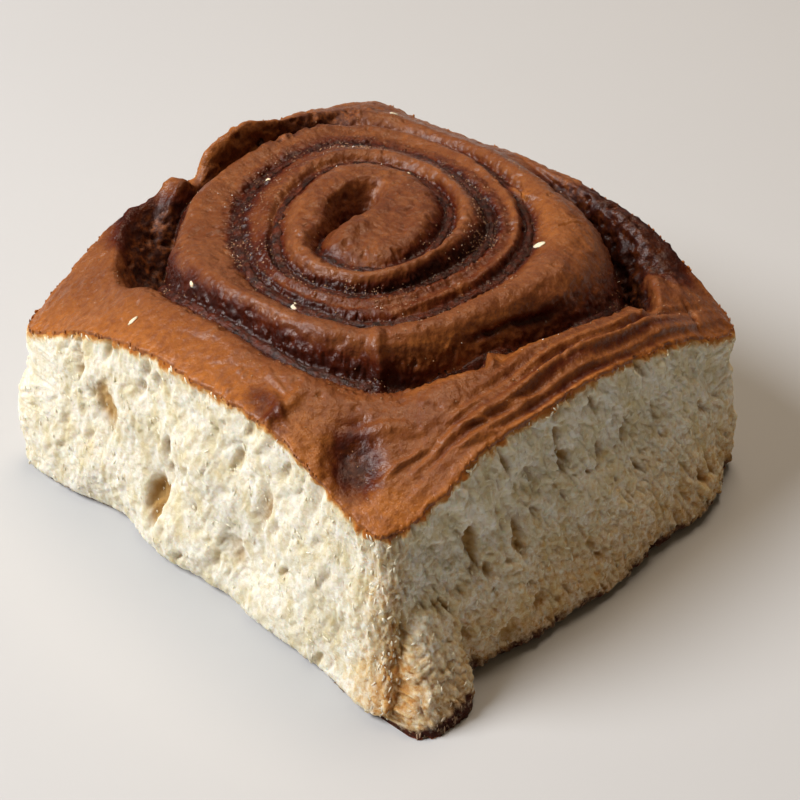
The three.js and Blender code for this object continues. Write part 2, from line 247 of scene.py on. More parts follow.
RIM_STATIONS = np.linspace(0, 1, 4001)[:-1]
RIM_REACH = rim_point(RIM_STATIONS) - COIL_CENTRE
RIM_BEARINGS = bearing_of(RIM_REACH)
RIM_RADII = np.hypot(*RIM_REACH.T)


def coil_radius(turns):
    return np.where(turns <= -1, 0, through(COIL_VALUES, (turns + 1) * 8))


def groove_depth(turns):
    start = smooth(turns, COIL_START - 0.06, COIL_START + 0.1)
    end = 1 - smooth(turns, COIL_END - 0.06, COIL_END + 0.06)
    return through(GROOVE_DEPTHS, turns * 8) * start * end


def groove_line(turns, rim_radius):
    """Radius of a groove, the slant of the cut through it, and its channel's inner and outer edge."""
    run_out = smooth(turns, COIL_END, 4)
    radius = np.minimum(mix(coil_radius(turns), rim_radius, run_out), rim_radius)
    climb = (coil_radius(turns + 0.01) - coil_radius(turns - 0.01)) / 0.02
    slant = np.minimum(np.hypot(1, climb / (2 * math.pi * np.maximum(radius, 1))), 2.2)
    opened = smooth(turns, -1, COIL_START) * (1 - run_out)
    half = np.minimum(opened * slant * (FILLING_THICKNESS / 2 + FIT_GAP), radius / 2)
    return radius, slant, radius - half, radius + half


def dome_height(x, y, reach, station):
    rim = round_through(RIM_HEIGHTS, station)
    height = rim + (CROWN_Z - rim) * (1 - reach**DOME_POWER)
    for shape in RIDGES.values():
        height = height + shape[5] * patch(shape, x, y)
    for shape in HOLLOWS.values():
        height = height - shape[5] * patch(shape, x, y)
    return height + TOP_UNEVEN * unevenness(x, y, 0, 22)


def top_height(x, y):
    """Height of the top at plan positions, and what is known of each place."""
    from_centre = np.stack([x, y], -1) - COIL_CENTRE
    radius = np.hypot(from_centre[:, 0], from_centre[:, 1])
    bearing = bearing_of(from_centre)
    station = np.interp(bearing, RIM_BEARINGS, RIM_STATIONS, period=1)
    rim_radius = np.interp(bearing, RIM_BEARINGS, RIM_RADII, period=1)
    reach = np.clip(radius / rim_radius, 0, 1)
    lines = [groove_line(bearing + k - 2, rim_radius) for k in range(LINES)]
    found = {name: np.zeros(len(x)) for name in ("fall", "lift", "away", "depth", "turn", "share")}
    for band in range(LINES - 1):
        before, after = lines[band], lines[band + 1]
        here = (radius >= before[0]) & ((radius < after[0]) | (band == LINES - 2))
        width = np.maximum(after[2] - before[3], 1e-6)
        share = np.clip((radius - before[3]) / width, 0, 1)
        turns = bearing + band - 2
        depth = np.where(share > 0.5, groove_depth(turns + 1), groove_depth(turns))
        own = {
            "fall": depth * np.abs(2 * share - 1) ** FLANK_POWER,
            "lift": through(CREST_LIFTS, turns + 1 + share) * np.sin(math.pi * share),
            "away": np.minimum(np.abs(radius - before[0]), np.abs(after[0] - radius)),
            "depth": depth,
            "turn": turns + share,
            "share": share,
        }
        found = {name: np.where(here, own[name], found[name]) for name in found}
    height = dome_height(x, y, reach, station) - found["fall"] + found["lift"] * (1 - reach**6)
    return height, found | {"reach": reach, "station": station, "bearing": bearing, "radius": radius}


# %% [markdown]
# The sizes above are measured from the middle of the bun, and the frame's origin is the middle of
# its box on the ground. The filling's own box says how far one is from the other: its outermost
# crossings are worked out here exactly as the solid has them, and laid over that box.

# %% Where the middle of the bun is in the frame
SOLID_COLUMNS = 88
solid_stations = np.arange(SOLID_COLUMNS) / SOLID_COLUMNS
solid_reach = rim_point(solid_stations) - COIL_CENTRE
crossings = []
for line in range(1, LINES - 1):
    rim_radius = np.hypot(*solid_reach.T)
    turns = bearing_of(solid_reach) + line - 2
    radius, slant, _, _ = groove_line(turns, rim_radius)
    filled = (turns >= COIL_START) & (turns <= COIL_END)
    for side in (-0.5, 0.5):
        reached = (radius + side * slant * FILLING_THICKNESS) / rim_radius
        crossings.append((COIL_CENTRE + solid_reach * reached[:, None])[filled])
crossings = np.concatenate(crossings)
filling_low, filling_high = (np.array(corner) * 1000 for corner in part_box("cinnamon_filling"))
MIDDLE = ((crossings.min(0) + crossings.max(0)) - (filling_low + filling_high)[:2]) / 2
print("middle of the box from the middle of the bun, mm:", MIDDLE.round(3))
print("size of the coil, mm:", np.ptp(crossings, axis=0).round(2), "and of its solid:",
      (filling_high - filling_low)[:2].round(2))


def placed(points):
    """Millimetres from the middle of the bun to metres in the frame."""
    points = np.array(points, float)
    points[:, :2] -= MIDDLE
    return points / 1000


# %% [markdown]
# One way to a dense bread surface is to remesh and sculpt it. Here a grid is laid over the bun
# instead: spokes from the coil's centre to the rim, then down the torn face and in under the
# base. A grid keeps every point's place known, so each kind of relief and colour can be asked for
# by formula, and the mesh closes by itself. On each spoke the points are spread evenly along the
# slope and not along the plan, so steep groove walls get as many as the crests. The rim itself is
# torn and not cut, so it is shifted in and out by up to a millimetre.

# %% Points of the top
COLUMNS = 4 * 256
TOP_ROWS = 180
FINE_ROWS = 420

stations = np.arange(COLUMNS) / COLUMNS
rim = rim_point(stations)
rim_reach = rim - COIL_CENTRE
outward = rim / np.linalg.norm(rim, axis=1)[:, None]
on_rim = np.column_stack([rim, np.zeros(COLUMNS)])
ragged_rim = 0.55 * rough_noise(on_rim, 4.5, 81) + 0.4 * rough_noise(on_rim, 1.4, 83, 2)
fine_share = np.linspace(0, 1, FINE_ROWS)
fine = COIL_CENTRE + rim_reach[:, None, :] * fine_share[None, :, None]
fine_z, _ = top_height(fine[..., 0].ravel(), fine[..., 1].ravel())
fine_z = fine_z.reshape(COLUMNS, FINE_ROWS)
plan_step = np.hypot(*rim_reach.T)[:, None] / (FINE_ROWS - 1)
slope_length = np.cumsum(np.hypot(np.diff(fine_z, axis=1), plan_step), axis=1)
slope_length = np.concatenate([np.zeros((COLUMNS, 1)), slope_length], axis=1)
wanted = np.linspace(0.004, 1, TOP_ROWS)
shares = np.stack([np.interp(wanted * run[-1], run, fine_share) for run in slope_length])
top_xy = COIL_CENTRE + rim_reach[:, None, :] * shares[..., None]
top_z, place = top_height(top_xy[..., 0].ravel(), top_xy[..., 1].ravel())
top_xy = top_xy + outward[:, None, :] * (ragged_rim[:, None] * smooth(shares, 0.95, 1.0))[..., None]
top = np.concatenate([top_xy.reshape(-1, 2), top_z[:, None]], 1).reshape(COLUMNS, TOP_ROWS, 3)
print("top:", COLUMNS, "spokes of", TOP_ROWS, "points")

# %% [markdown]
# The torn faces follow the solid's: they swell towards the base, with lumps and hollows of about
# 15 mm. The foot at the front corner is a leaning, squarish cone of crumb in the solid. On a grid
# it is a push of the wall outwards: where the cone stands further out than the wall, the wall is
# moved onto it, and where it is only just inside, the two are blended.

# %% Points of the torn faces and of the base
BASE_EDGE_Z, BASE_HOLLOW = 0.15, 0.35               # the base is a little hollow, so it stands on its edge
FOOT_POWER = 3.4                                    # how square the foot is
WALL_ROWS = 132
BASE_ROWS = 14


def foot_reach(x, z):
    """How far out, as -y, the foot's face is at a place along the front, or -99 beside it."""
    height = np.clip(z / FOOT["high"], 0, 1)
    radius = np.interp(height, *zip(*[(h, r) for r, h in FOOT_PROFILE]))
    across = (x - FOOT["x"] - FOOT["lean_x"] * height) / (FOOT["wide"] * np.maximum(radius, 1e-3))
    inside = np.clip(1 - np.abs(across) ** FOOT_POWER, 0, 1) ** (1 / FOOT_POWER)
    face = -(FOOT["y"] + FOOT["lean_y"] * height) + FOOT["long"] * radius * inside
    return np.where((np.abs(across) < 1) & (height < 1), face, -99)


wall_down = np.linspace(0, 1, WALL_ROWS + 1)[1:]
rim_z = top[:, -1, 2]
wall_z = mix(rim_z[:, None], BASE_EDGE_Z, wall_down[None, :])
solid_down = (rim_z[:, None] - wall_z) / (rim_z[:, None] - BASE_ROUND) * 6 / 7
swell = round_through(BASE_REACH, stations)[:, None] * smooth(solid_down, 0.05, 0.8)
torn = TEAR_DEPTH * unevenness(rim[:, :1], rim[:, 1:], wall_z, TEAR_SIZE) * smooth(solid_down, 0, 0.25)
tuck = BASE_TUCK * (1 - smooth(wall_z, 0, BASE_ROUND))
hanging = ragged_rim[:, None] * (1 - smooth(rim_z[:, None] - wall_z, 0.3, 2.4))
wall_xy = rim[:, None, :] + outward[:, None, :] * (swell + torn - tuck + hanging)[..., None]
wall_x, wall_out = wall_xy[..., 0], -wall_xy[..., 1]
foot_out = foot_reach(wall_x, wall_z)
on_foot = smooth(foot_out - wall_out, -1.5, 1.5) * (wall_xy[..., 1] < -HALF_Y * 0.9)
wall_xy[..., 1] = -mix(wall_out, np.maximum(foot_out, wall_out), on_foot)
wall = np.concatenate([wall_xy, wall_z[..., None]], -1)
inward = np.linspace(1, 0, BASE_ROWS + 1)[1:]
base_xy = wall[:, -1:, :2] * inward[None, :, None]
base_z = np.broadcast_to(BASE_EDGE_Z + BASE_HOLLOW * (1 - inward**8)[None, :], base_xy.shape[:2])
base = np.concatenate([base_xy, base_z[..., None]], -1)
print("torn faces:", COLUMNS, "by", WALL_ROWS, "points, perimeter",
      round(float(np.linalg.norm(np.diff(rim, axis=0), axis=1).sum())), "mm")

# %% [markdown]
# The three grids are joined into one closed skin. `grid_faces` makes quads between neighbouring
# rows and columns, and a single point closes the skin at the coil's heart and under the base.

# %% One closed skin


def new_mesh(name, points, faces):
    mesh = bpy.data.meshes.new(name)
    mesh.from_pydata(points.tolist(), [], faces)
    mesh.validate()
    mesh.update()
    obj = bpy.data.objects.new(name, mesh)
    bpy.context.scene.collection.objects.link(obj)
    return obj


def grid_faces(columns, rows, closed=True):
    """Quads of a grid of columns by rows, the last column meeting the first where it is closed."""
    spans = columns if closed else columns - 1
    a = (np.arange(spans)[:, None] * rows + np.arange(rows - 1)[None, :]).ravel()
    b = ((np.arange(spans)[:, None] + 1) % columns * rows + np.arange(rows - 1)[None, :]).ravel()
    return np.stack([a, a + 1, b + 1, b], 1)


skin = np.concatenate([top, wall, base], 1)
ROWS = skin.shape[1]
points = skin.reshape(-1, 3)
heart = np.array([[*COIL_CENTRE, top[:, 0, 2].mean()]])
under = np.array([[0, 0, 0.5]])
heart_fan = [(len(points), c * ROWS, (c + 1) % COLUMNS * ROWS) for c in range(COLUMNS)]
under_fan = [(len(points) + 1, ((c + 1) % COLUMNS + 1) * ROWS - 1, (c + 1) * ROWS - 1)
             for c in range(COLUMNS)]
quads = grid_faces(COLUMNS, ROWS)
dough = new_mesh("bun_dough", placed(np.concatenate([points, heart, under])),
                 [*quads.tolist(), *heart_fan, *under_fan])
normals = np.empty(len(dough.data.vertices) * 3)
dough.data.vertices.foreach_get("normal", normals)
normals = normals.reshape(-1, 3)[: len(points)]
row_of = np.tile(np.arange(ROWS), COLUMNS)
is_top = row_of < TOP_ROWS
is_wall = (row_of >= TOP_ROWS) & (row_of < TOP_ROWS + WALL_ROWS)
is_base = row_of >= TOP_ROWS + WALL_ROWS
print("skin of", len(points), "points, normals up on top:", bool(normals[is_top, 2].mean() > 0))

# %% [markdown]
# ## The relief of the baked top
# A baked skin of yeast dough is smooth and tight where it rose freely and finely wrinkled where
# it was pulled. Here it has slow lumps, streaks that run along the coil, small sunken pocks, a
# grainy sunken turn where sugar has boiled out, a crease in the coil's outer flank, blisters and
# long folds beside the torn edges. All are real geometry, pushed along the surface's own
# direction. For the streaks the plan is unrolled: every place is moved out to one ring, so a
# pattern is as long near the heart as it is near the rim, and the radius and the fall from the
# crest together become a third axis. The single folds and creases are named patches.

# %% Relief of the top
UNROLLED_RADIUS = 26.0
known = {key: np.zeros(len(points)) for key in place}
for key, value in place.items():
    known[key][is_top] = value
angle = known["bearing"] * 2 * math.pi
outward_and_down = 3.5 * known["radius"] + 3.0 * known["fall"]
coil_ring = [UNROLLED_RADIUS * np.cos(angle), UNROLLED_RADIUS * np.sin(angle)]
coil_space = np.stack([*coil_ring, outward_and_down], 1)
crest = 1 - smooth(known["fall"], 0.2, 2.4)
outer_flank = smooth(known["share"], 0.6, 0.92) * smooth(known["depth"], 1, 3)
sugar_turn = smooth(known["turn"], 1.1, 1.3) * (1 - smooth(known["turn"], 2.1, 2.35))
hollow = sum(shape[5] * patch(shape, points[:, 0], points[:, 1]) for shape in HOLLOWS.values())
cave = np.clip((hollow - 1) / 4, 0, 1)              # from a hollow 1 mm deep to one 5 mm deep
rim_side = smooth(known["reach"], 0.8, 0.97)
SKIN_FOLDS = {          # centre x and y, half length, half width, heading, height of narrow folds
    "end of the strip, pressed into the slot": (-5.5, 2.0, 6.5, 2.8, 3, 1.1),
    "shallow floor of the slot": (-6.5, 5.8, 5.5, 2.6, 16, 1.4),
    "skin stretched over the groove": (-23.2, -23, 4.2, 1.5, 56, 1.3),
    "fold across the front slot": (-7.8, -34.4, 3.2, 0.9, 28, 1.9),
    "torn bit over the groove": (31.1, -4.6, 3.4, 1.3, 84, 1.0),
    "lens-shaped fold": (-11.6, -43.4, 4.6, 0.7, -17, 0.8),
    "fold beside the dimple": (-33, -38.7, 6.5, 0.6, -8, 0.7),
    "first wrinkle by the corner": (-21.8, -41.7, 7, 0.55, -15, 0.6),
    "second wrinkle by the corner": (-24, -43.6, 9, 0.5, -10, 0.6),
    "fold on the left band": (-41.9, -19.8, 3.6, 0.9, 69, 0.9),
    "long fold on the left band": (-38.4, -16, 4.6, 0.6, 75, 0.5),
    "sliver in the groove": (13.2, 32, 1.8, 0.6, 16, 0.7),
    "crease at the right": (35, -41.6, 4.2, 0.55, 69, -1.1),
    "crack in the golden ring": (27, -18.3, 4, 0.4, -16, -0.4),
    "crack on the left band": (-35, 15.5, 3.4, 0.4, -58, -0.4),
}
PULLED = (2, -42, 42, 6.0, 0)           # the skin pulled into folds beside the torn front edge
BLISTERED = (-42.5, -14, 7.5, 3.6, 80)  # small blisters on the left of the front corner
CREASED = (3, -33, 13, 5, -21)          # the long crease in the flank above the front slot
BACK_WALL = (16, 41.5, 26, 4.2, -4)     # rough inner wall of the outer strip, at the back
RIGHT_WALL = (40.5, -18, 18, 4.6, 88)   # and at the right
plan_x, plan_y = points[:, 0], points[:, 1]
pulled = patch(PULLED, plan_x, plan_y, 0.5, 1.1)
blistered = patch(BLISTERED, plan_x, plan_y, 0.4, 1.3)
porous = np.maximum(patch(BACK_WALL, plan_x, plan_y, 0.5, 1.2), patch(RIGHT_WALL, plan_x, plan_y, 0.5, 1.2))
porous = np.clip(np.maximum(porous, cave * (known["reach"] > 0.5)), 0, 1)
grainy = np.clip(sugar_turn * (1 - 0.5 * crest) + 0.9 * (1 - crest) * (known["reach"] < 0.9), 0, 1)

bent = points + 1.2 * np.stack([rough_noise(points, 4.5, seed, 2) for seed in (3, 5, 7)], 1)
lumps = 0.42 * rough_noise(bent, 5.0, 11)
streaks = 0.22 * rough_noise(coil_space, 6.0, 23) * (1 - rim_side) * smooth(known["radius"], 4, 10)
pocks = -0.4 * pits(bent, 2.4, 31, (0.66, 0.84), (0.08, 0.42))
orange_skin = 0.17 * rough_noise(points, 1.5, 37, 2)
grains = 0.42 * (np.abs(rough_noise(points, 1.3, 41, 2)) * 2 - 0.5) * grainy
open_pores = pits(bent, (1.9, 1.9, 1.6), 51, (0.45, 0.6), (0.1, 0.55))
holes = porous * (0.75 * rough_noise(bent, 2.2, 57) - 0.8 * open_pores)
pull = plan_y + 0.9 * soft_noise(points, (13, 6, 9), 61)
fold_strength = 0.6 * pulled * mix(0.3, 1, 0.5 + 0.5 * soft_noise(points, 8, 63))
folds = fold_strength * (1 - 2 * np.abs(np.sin(pull * math.pi / 2.3)))
for shape in SKIN_FOLDS.values():
    folds += shape[5] * patch(shape, bent[:, 0], bent[:, 1], 0.05, 1.3)
crease_level = known["fall"] + 0.5 * rough_noise(bent, 4.0, 65)
crease = np.exp(-(((crease_level - 2.1) / 0.5) ** 2)) * (known["turn"] > 1.5)
crease *= patch(CREASED, plan_x, plan_y, 0.5, 1.2)
folds -= 1.1 * crease
blisters = 0.7 * blistered * pits(bent, 2.0, 71, (0.4, 0.6), (0.1, 0.5))
in_groove = np.exp(-((known["away"] / 1.0) ** 2)) * smooth(known["depth"], 0.4, 1.5) * (1 - cave)
fine_relief = lumps + streaks + pocks + orange_skin + grains + blisters
relief_top = fine_relief * (1 - 0.6 * in_groove) + holes + folds
relief_top *= mix(1, 0.6, rim_side * (1 - pulled) * (1 - porous))
print("top relief, mm:", relief_top[is_top].min().round(2), "to", relief_top[is_top].max().round(2))

# %% [markdown]
# ## The relief of the torn crumb
# When a soft bun is pulled from its neighbour the crumb tears into strands along the pull, with
# shallow, stretched pores between them. On the left face the strands run down towards the front
# corner, and on the front they lean the other way. The same pattern is used for all, so the
# faces' points are first sheared by the strands' lean and pressed flat along them; whatever is
# round there is long and slanted on the bun. Torn pore walls stand up as thin edges, which is
# noise folded over at zero, and its opposite gives soft tufts. Both are bent by slower noise, as
# nothing in crumb is a true circle. The larger hollows are placed one by one.

# %% Relief of the torn faces
column_of = np.repeat(np.arange(COLUMNS), ROWS)
down_face = rim_z[column_of] - points[:, 2]
side_of = np.floor(stations[column_of] * 4 + 0.5) % 4         # 0 back, 1 left, 2 front, 3 right
LEANS = [0.3, -0.42, 0.36, -0.25]                             # strands' lean, mm across for each mm up
corner_stations = np.array([1, 3, 5, 7]) / 8
lean_stations = np.sort([0, 1, *corner_stations, *(corner_stations - 0.03), *(corner_stations + 0.03)])
lean_values = [LEANS[int(s * 4 + 0.5) % 4] * (min(abs(s - corner_stations)) > 0.01) for s in lean_stations]
lean = np.interp(stations, lean_stations, lean_values)              # no lean at the corners
tangent = np.roll(rim, -1, axis=0) - np.roll(rim, 1, axis=0)
tangent *= (lean / np.linalg.norm(tangent, axis=1))[:, None]
sheared = points[:, :2] + tangent[column_of] * points[:, 2:]
strand_space = np.column_stack([sheared, points[:, 2] / 2.3])
FACE_HOLLOWS = {     # face, place along it and height in mm, half length, half width, heading, depth
    "wide hollow": ("left", 20.5, 26, 6.5, 3.6, 95, 1.5),
    "long cavity": ("left", 8.1, 11.8, 6.5, 1.8, 105, 2.3),
    "upper slot": ("left", 27, 32, 4, 1.2, 100, 0.9),
    "slot by the corner": ("left", -20, 26, 6.5, 1.6, 104, 1.2),
    "low hollow": ("left", -12, 12, 4, 3, 60, 1),
    "middle hollow": ("left", 4, 20, 3.2, 1.6, 100, 0.9),
    "slot beside the foot": ("front", -27, 24, 6, 1.3, 80, 1.6),
    "slot in the middle": ("front", -17, 21, 4.5, 1.5, 78, 1.4),
    "round pore": ("front", -5, 29, 2.4, 1.4, 60, 1.3),
    "pore": ("front", 3, 26, 2.6, 1.4, 65, 1.3),
    "far pore": ("front", 11, 27, 2.2, 1.3, 60, 1.2),
    "low pore": ("front", -15, 8, 3, 1.8, 50, 1.5),
    "lower pore": ("front", -22, 6, 2.6, 2, 50, 1.4),
}
strand_warp = np.stack([rough_noise(strand_space, 3.0, seed, 2) for seed in (91, 93, 95)], 1)
torn_space = strand_space + 1.1 * strand_warp
hollows_depth = np.zeros(len(points))
for face, across, up, long, wide, heading, deep in FACE_HOLLOWS.values():
    on_face = side_of == (1 if face == "left" else 2)
    place_across = (plan_y if face == "left" else plan_x) + 1.4 * strand_warp[:, 0]
    place_up = points[:, 2] + strand_warp[:, 1]
    inside = patch((across, up, long, wide, heading), place_across, place_up, 0.2, 1.3)
    hollows_depth += deep * inside * on_face

waves = 0.8 * rough_noise(strand_space, 8.0, 101)
films = 0.22 * (0.8 - 2 * np.abs(rough_noise(torn_space, 2.1, 113, 2)))
coarse_tufts = 0.25 * (np.abs(soft_noise(torn_space, 1.25, 117)) - 0.2)
tufts = coarse_tufts + 0.36 * (np.abs(soft_noise(torn_space, 0.65, 119)) - 0.2)
pore_edge, pore_own = cells(torn_space, 3.2, 131)
pores = smooth(pore_own, 0.66, 0.84) * (1 - smooth(pore_edge, 0.05, 0.5)) * mix(0.5, 1.3, pore_own)
fine_pores = pits(torn_space, 1.5, 137, (0.62, 0.8), (0.05, 0.5))
rougher = mix(1, 1.9, side_of == 2)                           # the front face tore more openly
torn = rougher * (films + tufts - 0.75 * pores - 0.42 * fine_pores) - hollows_depth
relief_wall = 0.15 + waves + torn
relief_wall *= mix(0.35, 1, smooth(down_face, 0.1, 1.6)) * mix(0.5, 1, smooth(points[:, 2], 0, 3))
print("crumb relief, mm:", relief_wall[is_wall].min().round(2), "to", relief_wall[is_wall].max().round(2))

# %% [markdown]
# Both reliefs are added along the normals. The base only gets the slight unevenness of dough that
# baked on a tray. The points of the base edge are kept off the ground, and nothing goes under it.

# %% Move the points
GROUND_GAP = 0.02                                   # mm
relief = np.where(is_top, relief_top, np.where(is_wall, relief_wall, 0))
relief[is_base] = 0.12 * soft_noise(points[is_base], 3.0, 151)
final = points + normals * relief[:, None]
final[:, 2] = np.maximum(final[:, 2], GROUND_GAP)
all_points = placed(np.concatenate([final, heart, under]))
dough.data.vertices.foreach_set("co", all_points.ravel())
dough.data.update()


def set_values(obj, name, values):
    attribute = obj.data.attributes.new(name, "FLOAT", "POINT")
    full = np.zeros(len(obj.data.vertices))
    full[: len(values)] = values
    attribute.data.foreach_set("value", full)


print("lowest point", round(float(final[:, 2].min()), 2), "highest", round(float(final[:, 2].max()), 2), "mm")

# %% [markdown]
# ## What colours the dough
# Bread browns most where it is high, dry and sugary, and stays pale where it was protected. Each
# cause becomes a number from 0 to 1 on every point, and the materials turn them into colour:
# syrup is the dark sugar in and beside the grooves, gold is the lighter crust near the torn
# edges, pore is the depth of a pore in the crumb, toast is the tan of crumb just under the crust,
# and scorch is the browned edge at the base. Some of these numbers also carry painted light and
# shade. The front face of the crumb is in the bun's own shade, so it gets a painted tan that grows
# towards the base and a browned band that reaches higher. The pores get a painted shade. The front
# of the coil and the wall of the back lobe face away from the lamp, so they get painted light as
# more gold and less syrup. What is darker or lighter in one place only, because sugar ran there,
# the skin stretched or light is painted, is a named patch.

# %% Values for the finishes
PLACES = {      # plan x and y, half length, half width, heading; then where it starts to fade and ends
    "red patch": ((-43, -18.5, 6.5, 3, 75), 0.3, 1.2),
    "dimple": ((-38.4, -33.4, 7.5, 5.4, 45), 0.3, 1.2),
    "left cave": ((-18.5, 41, 9, 7, 20), 0.6, 1.2),
    "right cave": ((34, -28, 8, 4.5, 60), 0.5, 1.2),
    "right wall": ((42.5, -22, 15, 6.5, 88), 0.6, 1.15),
    "inner strip": ((-17, 10, 6, 3, 60), 0.4, 1.2),
    "back lobe": ((7, 46.5, 15, 5, 0), 0.6, 1.2),
    "golden ring": ((26, -15, 14, 6, 70), 0.3, 1.3),
    "torn bit": ((31.1, -4.6, 3.4, 1.5, 84), 0.4, 1.2),
}
at = {name: patch(shape, plan_x, plan_y, *fade) for name, (shape, *fade) in PLACES.items()}
height = points[:, 2]
outermost = smooth(known["turn"], 1.6, 2.2) * smooth(-plan_x, 12, 27)
# Painted light: the front of the coil faces away from the lamp, so there its grooves and flank get less syrup
# and its crust more gold.
front_ring = smooth(known["turn"], 1.4, 1.8) * smooth(-plan_y, 12, 24)
front_ring *= smooth(plan_x, -30, -15) * smooth(-plan_x, -8, 4)
groove_width = 1.3 + 0.8 * rough_noise(bent, 4.0, 205)
near_groove = np.exp(-((known["away"] / np.maximum(groove_width, 0.5)) ** 2))
near_groove *= smooth(known["depth"], 0.4, 2.2) * (1 - 0.5 * front_ring)
SYRUP_CAUSES = [
    (0.95, near_groove),
    (0.5, crease),
    (1.0, outer_flank * (0.22 + 0.38 * outermost - 0.2 * front_ring)),
    (0.2, 1 - crest),
    (0.42, sugar_turn),
    (0.22, 1 - smooth(known["turn"], 0.5, 1.0)),
    (0.6, pulled * smooth(-folds, -0.1, 0.5)),
    (0.2, cave),
    (0.15, porous),
    (0.9, at["left cave"]),
    (1.0, at["right cave"] * cave),
    (1.2, at["right wall"]),
    (0.55, at["red patch"]),
    (0.9, at["dimple"]),
    (0.4, at["inner strip"]),
]
# Gold is the lighter crust near the torn edges, with painted light on the front of the coil and the back
# lobe.
GOLD_AND_PAINTED_LIGHT = [
    (0.85, smooth(-plan_x, 33, 45) * (known["station"] < 0.42)),
    (1.0, smooth(np.hypot(plan_x + 45, plan_y + 46), 13, 3)),
    (0.65, front_ring * smooth(known["fall"], 0.2, 1.2)),
    (0.3, pulled),
    (0.7, smooth(known["reach"], 0.965, 1.0)),
    (0.45, at["golden ring"]),
    (0.5, at["back lobe"]),
    (0.8, at["torn bit"]),
]
syrup = sum(share * cause for share, cause in SYRUP_CAUSES)
syrup = np.clip(syrup + 0.3 * rough_noise(bent, 2.6, 201) * smooth(syrup, 0.02, 0.4), 0, 1)
# Painted light: the wall of the back lobe faces away from the lamp, so it gets less syrup here, more gold and
# less of the dark porous tone.
syrup *= (1 - 0.8 * at["torn bit"]) * (1 - 0.85 * at["back lobe"])
gold = np.clip(sum(share * cause for share, cause in GOLD_AND_PAINTED_LIGHT), 0, 1) * (1 - syrup)
rough_wall = porous * (1 - 0.75 * at["right wall"]) * (1 - 0.6 * at["back lobe"])

# The front face is in the bun's own shade. Painted shade: there the crumb gets a tan that grows towards the
# base, and its browned band at the base reaches higher.
on_front = smooth(-plan_y, 5, 43) * smooth(plan_x, -47, -41) * is_wall
scorch_height = (height + (1.2 + on_front) * rough_noise(points, 3.0, 211)) / (1 + 2.2 * on_front)
front_corner = np.exp(-np.hypot(plan_x + 44, plan_y + 47) / 5)
foot_tan = 0.3 * np.exp(-np.hypot(plan_x + 44, plan_y + 52) / 12) * (1 - smooth(height, 5, 17))
low_tan = (0.36 * on_front + 0.55 * front_corner) * (1 - smooth(height, 0, 13))
scorch_and_shade = np.maximum(1 - smooth(scorch_height, 0.2, 1.9), low_tan) * is_wall + is_base
under_crust = 0.85 * (1 - smooth(down_face + rough_noise(points, 2.0, 213), 0.0, 3.0))
# Painted shade over the front face, strongest at the base, joined with the tan of the front corner and the
# foot.
painted_front_shade = np.maximum(on_front * (0.42 - 0.32 * smooth(height, 0, 32)), 0.5 * front_corner + foot_tan)
VALUES = {
    "syrup": syrup * is_top,
    "gold": gold * is_top + 0.6 * is_wall,
    "porous": rough_wall * is_top,
    # How deep a pore is, for a painted shade of tan in it.
    "pore": smooth(-torn, -0.05, 1.5) * is_wall,
    "scorch_and_shade": scorch_and_shade,
    "toasted_and_shade": np.maximum(under_crust, painted_front_shade) * is_wall,
}
for name, values in VALUES.items():
    set_values(dough, name, values)
print("syrup covers", round(float((syrup[is_top] > 0.5).mean()), 2), "of the top's points")

# %% [markdown]
# ## Materials
# All colours are written as they would look on a screen, in sRGB hex, and turned to the linear
# values that a renderer counts in by one function. A second helper adds a shader node, with its
# inputs, links and colour stops, so each material below reads as a list of what it does. Pattern
# scales are worked out from millimetres: the shader's space is in metres.

# %% Helpers for materials
MAIN_OUTPUT = {"TexCoord": "Object", "Attribute": "Fac", "Mix": 2}      # the first one otherwise


def linear(code):
    channels = [int(code[i : i + 2], 16) / 255 for i in (1, 3, 5)]
    return tuple(c / 12.92 if c <= 0.04045 else ((c + 0.055) / 1.055) ** 2.4 for c in channels) + (1.0,)


def per_mm(size):
    return 1000 / size


def new_material(name):
    material = bpy.data.materials.new(name)
    material.use_nodes = True
    return material, material.node_tree, material.node_tree.nodes["Principled BSDF"]


def connect(node, inputs):
    """Sets a node's inputs. Each is a value, a colour code or the output of another node."""
    for socket, value in inputs.items():
        if isinstance(value, bpy.types.NodeSocket):
            node.id_data.links.new(value, node.inputs[socket])
        else:
            node.inputs[socket].default_value = linear(value) if isinstance(value, str) else value


def add_node(tree, kind, inputs=None, stops=None, **settings):
    """Adds a node and returns its main output. Stops are the places and colours of a ramp."""
    made = tree.nodes.new("ShaderNode" + kind)
    for name, value in settings.items():
        setattr(made, name, value)
    for index, (place_on_ramp, code) in enumerate((stops or {}).items()):
        element = made.color_ramp.elements[index]
        element.position, element.color = place_on_ramp, linear(code)
    connect(made, inputs or {})
    return made.outputs[MAIN_OUTPUT.get(kind, 0)]


def point_values(tree, *names):
    return (add_node(tree, "Attribute", attribute_name=name) for name in names)


# %% [markdown]
# ### Egg-washed crust
# The top was brushed with egg, which bakes to a thin brown lacquer that is one with the skin. Its
# gloss is soft and broken by the skin's pores, so the roughness wanders between 0.2 and 0.42,
# with a weak reflection and a fine bump. A clear coat on top would look like varnish here and
# leave a grey haze in the grooves. The colour runs from gold at the protected edges over chestnut
# to a red-brown that is nearly black where the sugar has run into the grooves.

